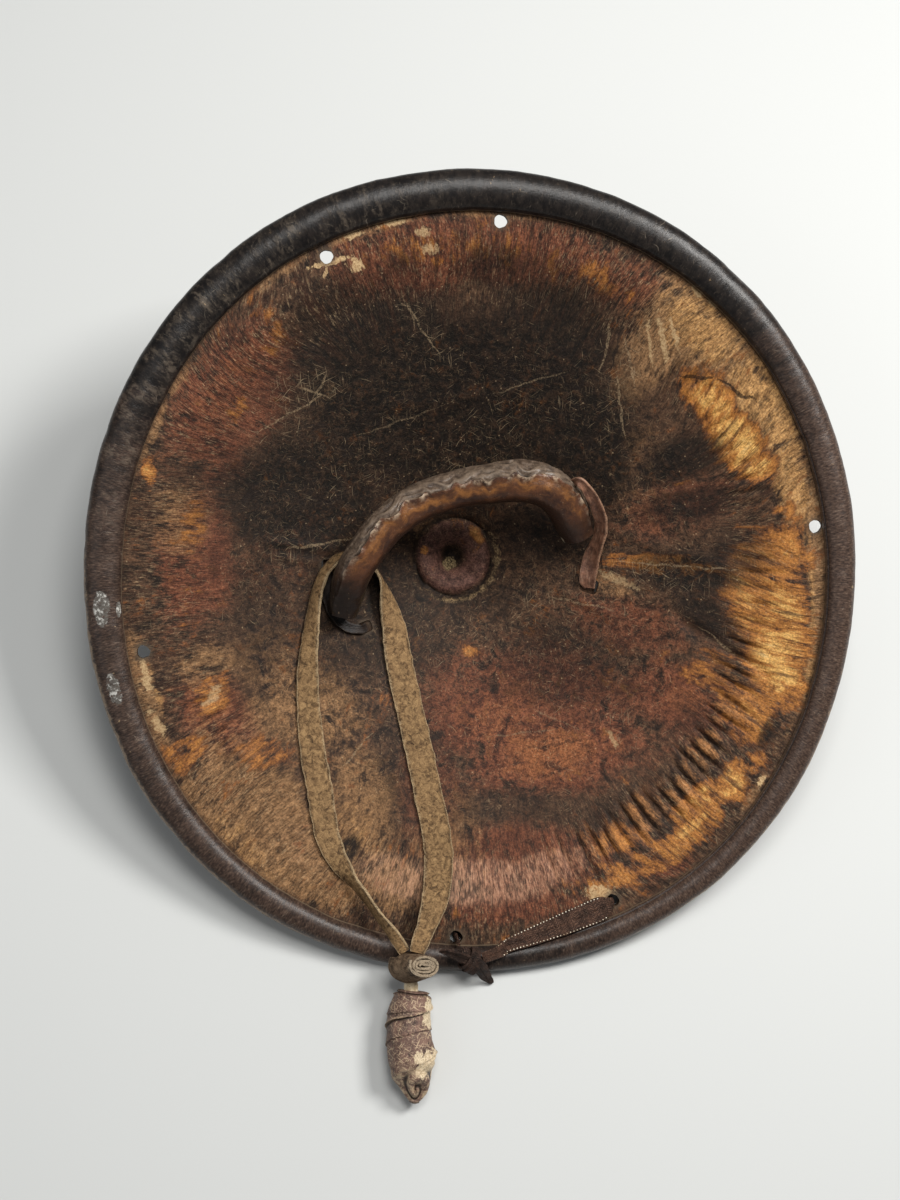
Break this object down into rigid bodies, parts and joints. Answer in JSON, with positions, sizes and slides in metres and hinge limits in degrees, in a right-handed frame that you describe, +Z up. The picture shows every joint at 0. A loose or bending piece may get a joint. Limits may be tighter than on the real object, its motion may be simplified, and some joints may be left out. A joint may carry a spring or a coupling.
{
  "type": "hide shield",
  "caption": "Round shield of pressed hide with a leather-bound rolled rim, an arched rolled-leather grip, a looped strap with knot and toggle, and a laced rim tie; it lies hollow side up",
  "frame": {"origin": "on the ground, in the middle of the flat spot under the boss that the shield rests on", "axes": "+Z up from the ground; +Y toward the raised top edge of the shield, away from the toggle; +X to the right, seen from the hollow side with the toggle toward the viewer"},
  "size_m": [0.5444, 0.6204, 0.2102],
  "materials": {
    "pressed_hide": "worn satin hide, mahogany to black with amber patches",
    "binding_leather": "dark satin leather with fine cross wrinkles",
    "grip_leather": "polished red-brown leather",
    "dark_thong": "dark matte thong",
    "suede_strap": "matte olive-tan suede",
    "rawhide_core": "pale dry rawhide",
    "wound_rawhide": "purple-brown rawhide worn to cream",
    "woven_tape": "brown woven tape with pale stitched edges"
  },
  "bodies": {
    "root": {"hide": "pressed_hide", "rim_binding": "binding_leather", "grip": "grip_leather", "grip_thong_left": "dark_thong", "grip_thong_right": "grip_leather", "strap": "suede_strap", "strap_knot": "suede_strap", "toggle_neck": "rawhide_core", "toggle": "wound_rawhide", "rim_tie": "woven_tape", "rim_tie_knot": "woven_tape"}
  },
  "joints": []
}
